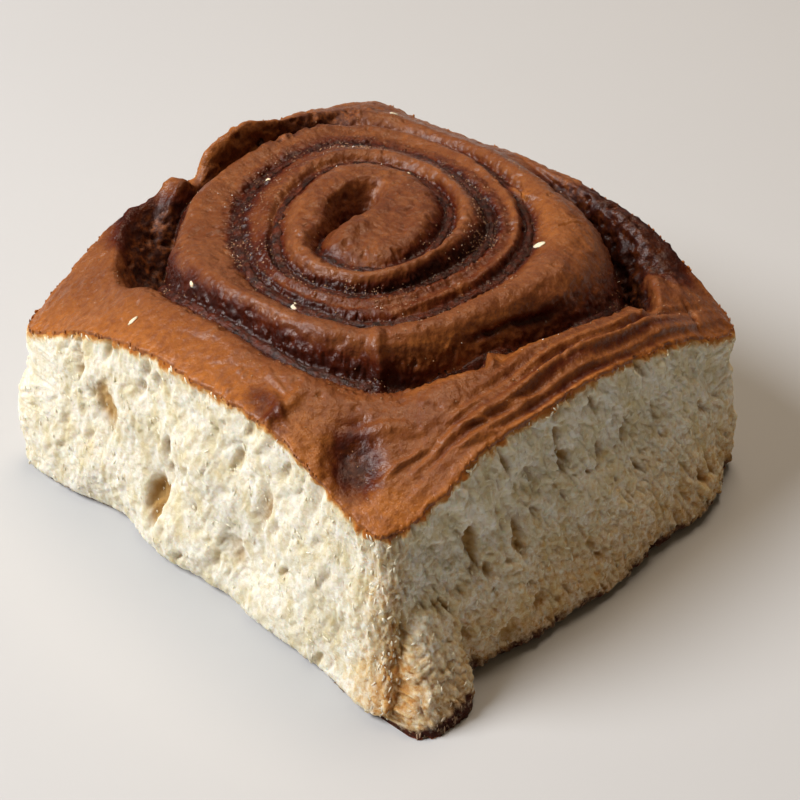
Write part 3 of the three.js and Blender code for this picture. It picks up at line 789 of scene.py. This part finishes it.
# %% Material: egg-washed crust
egg_wash, tree, shader = new_material("egg_washed_crust")
where = add_node(tree, "TexCoord")
syrup_here, gold_here, porous_here = point_values(tree, "syrup", "gold", "porous")
blotches = add_node(tree, "TexNoise", {"Vector": where, "Scale": per_mm(8), "Detail": 5.0, "Roughness": 0.6})
mottle = add_node(tree, "TexNoise", {"Vector": where, "Scale": per_mm(1.5), "Detail": 7.0, "Roughness": 0.7})
pitted = add_node(tree, "TexNoise", {"Vector": where, "Scale": per_mm(1.1), "Detail": 4.0, "Roughness": 0.6})
chestnut = add_node(tree, "ValToRGB", {"Fac": blotches}, {0.34: "#6E3D20", 0.68: "#87512B"})
rough_browns = add_node(tree, "ValToRGB", {"Fac": mottle}, {0.36: "#8A4D22", 0.54: "#381509"})
freckles = add_node(tree, "MapRange", {"Value": mottle, "From Min": 0.4, "From Max": 0.66, "To Max": 0.6})
ragged = add_node(tree, "Math", {0: mottle, 1: 0.6, 2: syrup_here}, operation="MULTIPLY_ADD")
soaked = add_node(tree, "MapRange", {"Value": ragged, "From Min": 0.38, "From Max": 1.0})
sunk = add_node(tree, "MapRange", {"Value": ragged, "From Min": 0.95, "From Max": 1.4})
half_porous = add_node(tree, "Math", {0: porous_here, 1: 0.75}, operation="MULTIPLY")
colour = chestnut
for share, tone in ((gold_here, "#A0602A"), (freckles, "#5A270A"), (soaked, "#4C1A08"), (sunk, "#260804"),
                    (half_porous, rough_browns)):
    colour = add_node(tree, "Mix", {0: share, 6: colour, 7: tone}, data_type="RGBA")
gloss = add_node(tree, "MapRange", {"Value": mottle, "From Min": 0.35, "From Max": 0.65,
                                    "To Min": 0.2, "To Max": 0.42})
dulled = add_node(tree, "Math", {0: porous_here, 1: 0.25, 2: gloss}, operation="MULTIPLY_ADD")
skin_bump = add_node(tree, "Bump", {"Height": pitted, "Strength": 0.8, "Distance": 0.0004})
connect(shader, {
    "Base Color": colour, "Roughness": dulled, "Normal": skin_bump, "IOR": 1.45, "Specular IOR Level": 0.32,
    "Subsurface Weight": 0.05, "Subsurface Radius": (1.0, 0.4, 0.2), "Subsurface Scale": 0.001,
})
print(egg_wash.name, "has", len(tree.nodes), "nodes")

# %% [markdown]
# ### Torn crumb
# Crumb is a foam of thin starch walls, so light goes in, wanders a few millimetres and comes out:
# hollows look warm and soft instead of black. Subsurface scattering does that. It is matt, cream
# where it stands proud and tan in the pores, which is a painted shade. It turns orange-brown in
# the last millimetres under the crust and brown at the base. On the front face, which is in the
# bun's own shade, these browns also carry a painted shade that reaches further up the face.

# %% Material: torn crumb
crumb, tree, shader = new_material("torn_crumb")
where = add_node(tree, "TexCoord")
pore_here, scorch_and_shade_here, toast_and_shade_here = point_values(tree, "pore", "scorch_and_shade", "toasted_and_shade")
strands = add_node(tree, "Mapping", {"Vector": where, "Scale": (1, 1, 0.55)})
clouds = add_node(tree, "TexNoise", {"Vector": strands, "Scale": per_mm(3), "Detail": 4.0, "Roughness": 0.6})
fluff = add_node(tree, "TexNoise", {"Vector": where, "Scale": per_mm(1.1), "Detail": 6.0, "Roughness": 0.65})
fuzz = add_node(tree, "TexNoise", {"Vector": where, "Scale": per_mm(0.55), "Detail": 6.0, "Roughness": 0.7})
cream = add_node(tree, "ValToRGB", {"Fac": clouds}, {0.36: "#DED2AE", 0.58: "#F4F0E2"})
shaded = add_node(tree, "MapRange", {"Value": fluff, "From Min": 0.42, "From Max": 0.68, "To Max": 0.5})
# The tan under the crust also carries the painted shade of the front face.
edge = add_node(tree, "Math", {0: fluff, 1: 0.9, 2: toast_and_shade_here}, operation="MULTIPLY_ADD")
edge_share = add_node(tree, "MapRange", {"Value": edge, "From Min": 0.65, "From Max": 1.3})
edge_browns = add_node(tree, "ValToRGB", {"Fac": edge_share}, {0.2: "#D8AE6C", 0.9: "#A9621F"})
tan_share = add_node(tree, "MapRange", {"Value": edge, "From Min": 0.6, "From Max": 1.0})
# The base browns also carry the painted shade low on the front face.
burnt_and_shade = add_node(tree, "Math", {0: fluff, 1: 1.1, 2: scorch_and_shade_here}, operation="MULTIPLY_ADD")
burnt_and_shade_share = add_node(tree, "MapRange", {"Value": burnt_and_shade, "From Min": 0.85, "From Max": 1.5})
base_browns = add_node(tree, "ValToRGB", {"Fac": burnt_and_shade_share}, {0.25: "#9A6A36", 0.85: "#42190B"})
colour = cream
# Painted shade: the crumb is tan in its pores, the more so the deeper they are.
for share, tone in ((shaded, "#D2C193"), (pore_here, "#AE8850"), (tan_share, edge_browns),
                    (burnt_and_shade_share, base_browns)):
    colour = add_node(tree, "Mix", {0: share, 6: colour, 7: tone}, data_type="RGBA")
crumb_bump = add_node(tree, "Bump", {"Height": fuzz, "Strength": 0.9, "Distance": 0.0005})
connect(shader, {
    "Base Color": colour, "Roughness": 0.85, "Normal": crumb_bump, "Specular IOR Level": 0.25,
    "Subsurface Weight": 0.6, "Subsurface Radius": (1.0, 0.75, 0.5), "Subsurface Scale": 0.0018,
})
print(crumb.name, "has", len(tree.nodes), "nodes")

# %% [markdown]
# ### Baked base
# The underside sat on a greased tray. It is a dull brown, blotched darker where it touched.

# %% Material: baked base
tray_side, tree, shader = new_material("tray_baked_base")
where = add_node(tree, "TexCoord")
blotches = add_node(tree, "TexNoise", {"Vector": where, "Scale": per_mm(6), "Detail": 6.0, "Roughness": 0.6})
browns = add_node(tree, "ValToRGB", {"Fac": blotches}, {0.35: "#5B3317", 0.66: "#A06A35"})
dents = add_node(tree, "Bump", {"Height": blotches, "Strength": 0.5, "Distance": 0.0006})
connect(shader, {"Base Color": browns, "Roughness": 0.7, "Normal": dents})
print(tray_side.name, "has", len(tree.nodes), "nodes")

# %% [markdown]
# Each face of the skin takes one of the three. The border between crust and crumb follows the
# tear, which is ragged, so it goes down by a little noise from the rim. A face with one point in
# the crust is crust, which keeps pale specks off the border.

# %% Give each face its material
for material in (egg_wash, crumb, tray_side):
    dough.data.materials.append(material)
ragged_edge = 0.35 + 0.6 * rough_noise(points, 3.0, 221, 2)
point_kind = np.where(is_top | (is_wall & (down_face < ragged_edge)), 0, np.where(is_base, 2, 1))
face_kind = np.where((point_kind[quads] == 0).any(1), 0, point_kind[quads].max(1))
face_kind = np.concatenate([face_kind, np.zeros(COLUMNS), np.full(COLUMNS, 2)]).astype(np.int32)
dough.data.polygons.foreach_set("material_index", face_kind)
dough.data.polygons.foreach_set("use_smooth", np.ones(len(face_kind), bool))
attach(dough, "root")
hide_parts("dough")
print("faces of crust, crumb and base:", np.bincount(face_kind))

# %% [markdown]
# ## The cinnamon filling
# Butter, sugar and ground cinnamon melt into a sticky paste between the turns. It shows as a dark
# glossy band at the bottom of each groove, spread unevenly up both flanks, with sugar grains in
# it. It could be only a colour on the dough, but it is a layer of its own that runs through the
# bun, so it is built as one: a sheet on edge along the coil, from the base up, whose top is
# smeared out over the groove.

# %% The filling's sheet
FILLING_STEP = 0.55          # mm along the coil
SMEAR_POINTS = 15
SHEET_BURIED, SHEET_FOOT_Z = 2.2, 0.05               # mm under the smear, and off the ground
coarse_turns = np.linspace(COIL_START, COIL_END, 2000)


def coil_place(turns):
    """Plan position of the coil, the way outwards there and the slant of a cut through it."""
    direction_angle = (turns + 0.25) * 2 * math.pi
    direction = np.stack([np.cos(direction_angle), np.sin(direction_angle)], -1)
    rim_radius = np.interp(turns % 1, RIM_BEARINGS, RIM_RADII, period=1)
    radius, slant, _, _ = groove_line(turns, rim_radius)
    return COIL_CENTRE + direction * radius[:, None], direction, slant


coarse_xy, _, _ = coil_place(coarse_turns)
coil_run = np.concatenate([[0], np.cumsum(np.linalg.norm(np.diff(coarse_xy, axis=0), axis=1))])
sections = int(coil_run[-1] / FILLING_STEP)
turns = np.interp(np.linspace(0, coil_run[-1], sections), coil_run, coarse_turns)
centre_line, direction, slant = coil_place(turns)
run = np.linspace(0, coil_run[-1], sections)
run_space = np.stack([run, turns * 0, turns * 0], 1)
spread_in = 0.95 + 0.55 * rough_noise(run_space, 5.0, 301)
spread_out = 0.95 + 0.55 * rough_noise(run_space, 4.0, 307)
ends = smooth(run, 0, 3) * smooth(run[-1] - run, 0, 3)
across = np.linspace(-1, 1, SMEAR_POINTS)
reach_out = np.where(across[None, :] < 0, across * spread_in[:, None], across * spread_out[:, None])
reach_out = reach_out * mix(0.5, 1, ends)[:, None]
smear_xy = centre_line[:, None, :] + direction[:, None, :] * (reach_out * slant[:, None])[..., None]
smear_z, _ = top_height(smear_xy[..., 0].ravel(), smear_xy[..., 1].ravel())
smear = np.concatenate([smear_xy.reshape(-1, 2), smear_z[:, None]], 1)
thickness = 0.2 + 0.3 * rough_noise(smear, 2.2, 311) + 0.3 * rough_noise(smear, 0.9, 317, 2)
edge_drop = np.tile(across**4, sections)                            # the smear's edges sink into the dough
smear[:, 2] += thickness * (1 - edge_drop) - 0.45 * edge_drop
smear = smear.reshape(sections, SMEAR_POINTS, 3)
half = (slant * FILLING_THICKNESS / 2)[:, None]
sheet_top = smear[:, SMEAR_POINTS // 2, 2] - SHEET_BURIED
sheet_foot = np.full(sections, SHEET_FOOT_Z)
stem = [np.column_stack([centre_line + side * direction * half, level])
        for side, level in ((1, sheet_top), (1, sheet_foot), (-1, sheet_foot), (-1, sheet_top))]
band = np.concatenate([smear, np.stack(stem, 1)], 1)
around = band.shape[1]
first = np.arange(sections - 1)[:, None] * around
ring = np.arange(around)
after = (ring + 1) % around
band_faces = np.stack([first + ring, first + around + ring, first + around + after, first + after], -1)
caps = [ring.tolist(), ((sections - 1) * around + ring[::-1]).tolist()]
filling = new_mesh("cinnamon_band", placed(band.reshape(-1, 3)), band_faces.reshape(-1, 4).tolist() + caps)
filling.data.polygons.foreach_set("use_smooth", np.ones(len(filling.data.polygons), bool))
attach(filling, "root")
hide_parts("cinnamon_filling")
print("filling runs", round(float(coil_run[-1])), "mm along the coil in", sections, "sections")

# %% [markdown]
# The paste is nearly black where it is thick and reddish where it is thin. It is stickier and
# glossier than the crust, and its undissolved grains show as a fine bump.

# %% Material: cinnamon sugar paste
sugar_paste, tree, shader = new_material("cinnamon_sugar_paste")
where = add_node(tree, "TexCoord")
thick = add_node(tree, "TexNoise", {"Vector": where, "Scale": per_mm(1.8), "Detail": 6.0, "Roughness": 0.65})
grain = add_node(tree, "TexNoise", {"Vector": where, "Scale": per_mm(0.6), "Detail": 4.0, "Roughness": 0.6})
browns = add_node(tree, "ValToRGB", {"Fac": thick}, {0.4: "#210803", 0.72: "#5E2611"})
paste_bump = add_node(tree, "Bump", {"Height": grain, "Strength": 0.7, "Distance": 0.0005})
connect(shader, {"Base Color": browns, "Roughness": 0.3, "Normal": paste_bump, "Specular IOR Level": 0.3})
filling.data.materials.append(sugar_paste)
print(sugar_paste.name, "has", len(tree.nodes), "nodes")

# %% [markdown]
# ## Small loose pieces
# Four kinds of small things lie on the bun or stand out from it: sugar grains that shine in the
# grooves, a few pale flakes of sugar, tufts of crumb along the torn faces, and scraps of crust
# that hang from the torn rim. Each kind is one mesh. A small faceted ball is stretched, turned
# and roughened anew for each piece, and the pieces sit on points of the finished skin, so none
# floats and none is buried.

# %% Scattering pieces over the skin


def faceted_ball(splits):
    """A ball from an octahedron, each split turning a triangle into four: points and triangles."""
    ball = [(1, 0, 0), (-1, 0, 0), (0, 1, 0), (0, -1, 0), (0, 0, 1), (0, 0, -1)]
    triangles = [(0, 2, 4), (2, 1, 4), (1, 3, 4), (3, 0, 4), (2, 0, 5), (1, 2, 5), (3, 1, 5), (0, 3, 5)]
    for _ in range(splits):
        middles, finer = {}, []
        for corner in triangles:
            between = []
            for a, b in zip(corner, corner[1:] + corner[:1]):
                key = (min(a, b), max(a, b))
                if key not in middles:
                    middle = (np.array(ball[a]) + np.array(ball[b])) / 2
                    middles[key] = len(ball)
                    ball.append(tuple(middle / np.linalg.norm(middle)))
                between.append(middles[key])
            a, b, c = corner
            ab, bc, ca = between
            finer += [(a, ab, ca), (b, bc, ab), (c, ca, bc), (ab, bc, ca)]
        triangles = finer
    return np.array(ball, float), np.array(triangles)


def skin_frames(chosen, direction):
    """Three axes at each chosen point: along the given direction, across it, and off the skin."""
    off = normals[chosen]
    along = direction - off * (direction * off).sum(1, keepdims=True)
    along /= np.maximum(np.linalg.norm(along, axis=1, keepdims=True), 1e-6)
    return np.stack([along, np.cross(off, along), off], 1)


def scatter(name, splits, chosen, direction, half_sizes, lift, roughness, material, random):
    """One mesh with a rough, stretched ball at each chosen point of the skin."""
    ball, triangles = faceted_ball(splits)
    frames = skin_frames(chosen, direction)
    uneven = 1 + roughness * random.uniform(-1, 1, (len(chosen), len(ball), 1))
    shapes = np.einsum("nkj,nji->nki", ball[None] * half_sizes[:, None, :] * uneven, frames)
    centres = final[chosen] + normals[chosen] * lift[:, None]
    piece_points = (shapes + centres[:, None]).reshape(-1, 3)
    piece_points[:, 2] = np.maximum(piece_points[:, 2], GROUND_GAP)
    all_faces = (triangles[None] + np.arange(len(chosen))[:, None, None] * len(ball)).reshape(-1, 3)
    obj = new_mesh(name, placed(piece_points), all_faces.tolist())
    obj.data.materials.append(material)
    obj.data.polygons.foreach_set("use_smooth", np.full(len(all_faces), splits > 0))
    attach(obj, "root")
    print(name, "has", len(chosen), "pieces and", len(all_faces), "triangles")
    return obj


def draw(random, count, weight):
    """Points of the skin drawn by weight, none twice."""
    return random.choice(len(weight), size=count, replace=False, p=weight / weight.sum())


# %% [markdown]
# Sugar grains are clear, angular and under half a millimetre here, as they have half melted.
# They lie thickest in the sunken, grainy turn and along the groove floors.

# %% Sugar grains and flakes
sugar, tree, shader = new_material("sugar_crystals")
connect(shader, {"Base Color": "#C79B78", "Roughness": 0.16, "IOR": 1.54, "Transmission Weight": 0.35})
random = np.random.default_rng(401)
clumps = smooth(rough_noise(points, 6.0, 403), -0.1, 0.5)
weight = is_top * np.maximum(known["radius"], 1) * (known["reach"] < 0.93) * (1 - cave)
weight = weight * (0.05 + 0.6 * in_groove + sugar_turn * (1 - 0.6 * crest)) * (0.15 + clumps)
chosen = draw(random, 1900, weight)
sizes = random.uniform(0.07, 0.17, (len(chosen), 1)) * random.uniform(0.7, 1.3, (len(chosen), 3))
scatter("sugar_grains", 0, chosen, random.normal(size=(len(chosen), 3)), sizes,
        random.uniform(0.0, 0.1, len(chosen)), 0.25, sugar, random)

pale_sugar, tree, shader = new_material("pale_sugar_flake")
connect(shader, {"Base Color": "#DCCFB4", "Roughness": 0.6})
connect(shader, {"Subsurface Weight": 0.3, "Subsurface Scale": 0.0008})
FLAKES = {           # plan x and y, half length, half width, heading, in mm
    "largest, right of the coil": (20, -18.6, 1.25, 0.85, 110),
    "in the left groove": (-23.4, -3.8, 1.2, 0.6, 60),
    "in the open seam": (-18.9, 34.9, 1.3, 0.75, 20),
    "behind the pit": (19.1, 11.9, 0.5, 0.4, 0),
    "on the left band": (-41, 16.5, 1.0, 0.45, 170),
    "at the back": (1.9, 30.6, 0.65, 0.5, 0),
    "on the left crest": (-29.8, 14.3, 0.7, 0.4, 40),
    "on the back crest": (38.7, 35.2, 0.9, 0.35, 150),
}
not_on_top = 99 * ~is_top
flake_at = np.array([np.argmin(np.hypot(plan_x - x, plan_y - y) + not_on_top)
                     for x, y, *_ in FLAKES.values()])
flake_sizes = np.array([(long, wide, 0.22) for _, _, long, wide, _ in FLAKES.values()])
flake_turns = np.radians([flake[4] for flake in FLAKES.values()])
flake_directions = np.stack([np.cos(flake_turns), np.sin(flake_turns), flake_turns * 0], 1)
scatter("sugar_flakes", 2, flake_at, flake_directions, flake_sizes, np.full(len(FLAKES), 0.12), 0.16,
        pale_sugar, random)

# %% [markdown]
# Where crumb tears, its last strands stay as tufts and curls. They are thickest along the front
# corner, on the foot, at the base edge and just under the crust. Under the rim hang small scraps
# of the crust itself.

# %% Tufts of crumb and scraps of crust
tuft_crumb, tree, shader = new_material("crumb_tuft")
(scorch_and_shade_here,) = point_values(tree, "scorch_and_shade")
tint = add_node(tree, "TexNoise", {"Vector": add_node(tree, "TexCoord"), "Scale": per_mm(2), "Detail": 3.0})
pale = add_node(tree, "Mix", {0: tint, 6: "#F1EDDD", 7: "#E4DBBC"}, data_type="RGBA")
# Tufts low on the front face take the same painted shade.
browned = add_node(tree, "Mix", {0: scorch_and_shade_here, 6: pale, 7: "#7A4A22"}, data_type="RGBA")
connect(shader, {"Base Color": browned, "Roughness": 0.9, "Specular IOR Level": 0.2})
random = np.random.default_rng(407)
low_edge = 1 - smooth(points[:, 2], 0.5, 4)
below_crust = 1 - smooth(down_face, 1.0, 4)
weight = is_wall * (0.35 + 1.2 * front_corner + 0.7 * low_edge + 0.25 * below_crust) * (down_face > 0.9)
chosen = draw(random, 2800, weight)
upward = np.column_stack([tangent[column_of][chosen], np.ones(len(chosen))])
upward += random.normal(0, 0.45, (len(chosen), 3))
tuft_size = random.uniform(0.12, 0.32, (len(chosen), 1))
sizes = tuft_size * np.array([2.0, 0.6, 0.6]) * random.uniform(0.7, 1.3, (len(chosen), 3))
sunk_in = random.uniform(-0.1, 0.06, len(chosen))
tufted = scatter("crumb_tufts", 1, chosen, upward, sizes, sunk_in, 0.3, tuft_crumb, random)
points_each = len(tufted.data.vertices) // len(chosen)
set_values(tufted, "scorch_and_shade", np.repeat(scorch_and_shade[chosen], points_each) * 0.8)

weight = is_wall * (down_face < 0.8) * 1.0
chosen = draw(random, 240, weight)
downward = np.array([[0, 0, -1]]) + random.normal(0, 0.6, (len(chosen), 3))
scrap_size = random.uniform(0.15, 0.42, (len(chosen), 1))
sizes = scrap_size * np.array([1.3, 0.9, 0.35]) * random.uniform(0.7, 1.3, (len(chosen), 3))
sunk_in = random.uniform(-0.05, 0.15, len(chosen))
scraps = scatter("crust_scraps", 1, chosen, downward, sizes, sunk_in, 0.25, egg_wash, random)
set_values(scraps, "gold", np.ones(len(scraps.data.vertices)))

# %% [markdown]
# ## Floor, light and camera
# A pale grey floor of matt paper rises into its own backdrop. Two soft, round lamps light the
# bun. The strong one stands high on the left and a little behind, as a window would, so the top
# and the left face are bright and the front face is in its own shade. A weak, warm one overhead
# lifts the grooves and the front of the coil. The rest comes off the floor and from a faint,
# warm sky.

# %% Floor and lights
SWEEP = [(-1.6, 0.0), (0.7, 0.0), (0.95, 0.06), (1.1, 0.22), (1.2, 0.6), (1.25, 1.6)]   # depth, height in m
SWEEP_HALF_WIDTH = 2.5
CAMERA_AZIMUTH, CAMERA_ELEVATION = math.radians(-45.34), math.radians(36.08)
LAMPS = {            # place and target in m, size in m, power in W, colour
    "window_lamp": ((-0.56, 0.37, 0.68), (0, 0, 0.02), 0.5, 12.5, "#FFFFFF"),
    "ceiling_lamp": ((0.22, 0.08, 0.82), (0, 0, 0.03), 0.4, 3.2, "#FFE9CE"),
}


def look_from(name, data, place, target):
    """Puts a lamp or a camera into the scene, turned to its target."""
    obj = bpy.data.objects.new(name, data)
    bpy.context.scene.collection.objects.link(obj)
    obj.location = place
    obj.rotation_mode = "QUATERNION"
    obj.rotation_quaternion = Vector(np.subtract(target, place)).to_track_quat("-Z", "Y")
    return obj


away_from_camera = np.array([-math.sin(CAMERA_AZIMUTH), math.cos(CAMERA_AZIMUTH), 0])
sideways = np.array([math.cos(CAMERA_AZIMUTH), math.sin(CAMERA_AZIMUTH), 0])
sweep = np.array([away_from_camera * depth + sideways * side + np.array([0, 0, rise])
                  for side in (-SWEEP_HALF_WIDTH, SWEEP_HALF_WIDTH) for depth, rise in SWEEP])
floor = new_mesh("floor", sweep, grid_faces(2, len(SWEEP), closed=False).tolist())
floor.data.polygons.foreach_set("use_smooth", np.ones(len(floor.data.polygons), bool))
paper, tree, shader = new_material("matt_paper")
grain = add_node(tree, "TexNoise", {"Scale": 40.0, "Detail": 3.0})
tint = add_node(tree, "Mix", {0: grain, 6: "#B8B9BB", 7: "#BDBEC0"}, data_type="RGBA")
connect(shader, {"Base Color": tint, "Roughness": 0.9})
floor.data.materials.append(paper)

for name, (place_of_lamp, target, size, power, colour) in LAMPS.items():
    lamp = bpy.data.lights.new(name, "AREA")
    lamp.shape = "DISK"
    lamp.size, lamp.energy, lamp.color = size, power, linear(colour)[:3]
    look_from(name, lamp, place_of_lamp, target)
world = bpy.data.worlds.new("studio")
world.use_nodes = True
connect(world.node_tree.nodes["Background"], {"Color": "#FFDFB2", "Strength": 0.11})
bpy.context.scene.world = world
bpy.context.scene.view_settings.view_transform = "Standard"

# %% [markdown]
# The camera's angle, distance and lens were worked out from the bun's corners in the photograph:
# it looks down at 36 degrees onto the front corner from about a third of a metre, through an
# 81 mm lens on a full frame.

# %% Camera
CAMERA_DISTANCE, CAMERA_RIGHT, CAMERA_UP = 336.5, 3.52, 11.20       # mm, from the middle of the bun
LENS = 81.0
toward_camera = np.array([math.sin(CAMERA_AZIMUTH) * math.cos(CAMERA_ELEVATION),
                          -math.cos(CAMERA_AZIMUTH) * math.cos(CAMERA_ELEVATION), math.sin(CAMERA_ELEVATION)])
camera_up = np.cross(toward_camera, sideways)
eye = toward_camera * CAMERA_DISTANCE + sideways * CAMERA_RIGHT + camera_up * CAMERA_UP
camera_data = bpy.data.cameras.new("camera")
camera_data.lens, camera_data.sensor_width = LENS, 36.0
camera_data.clip_start, camera_data.clip_end = 0.01, 20
eye_in_frame = placed([eye])[0]
bpy.context.scene.camera = look_from("camera", camera_data, eye_in_frame, eye_in_frame - toward_camera)
print("camera at", eye_in_frame.round(4), "m")
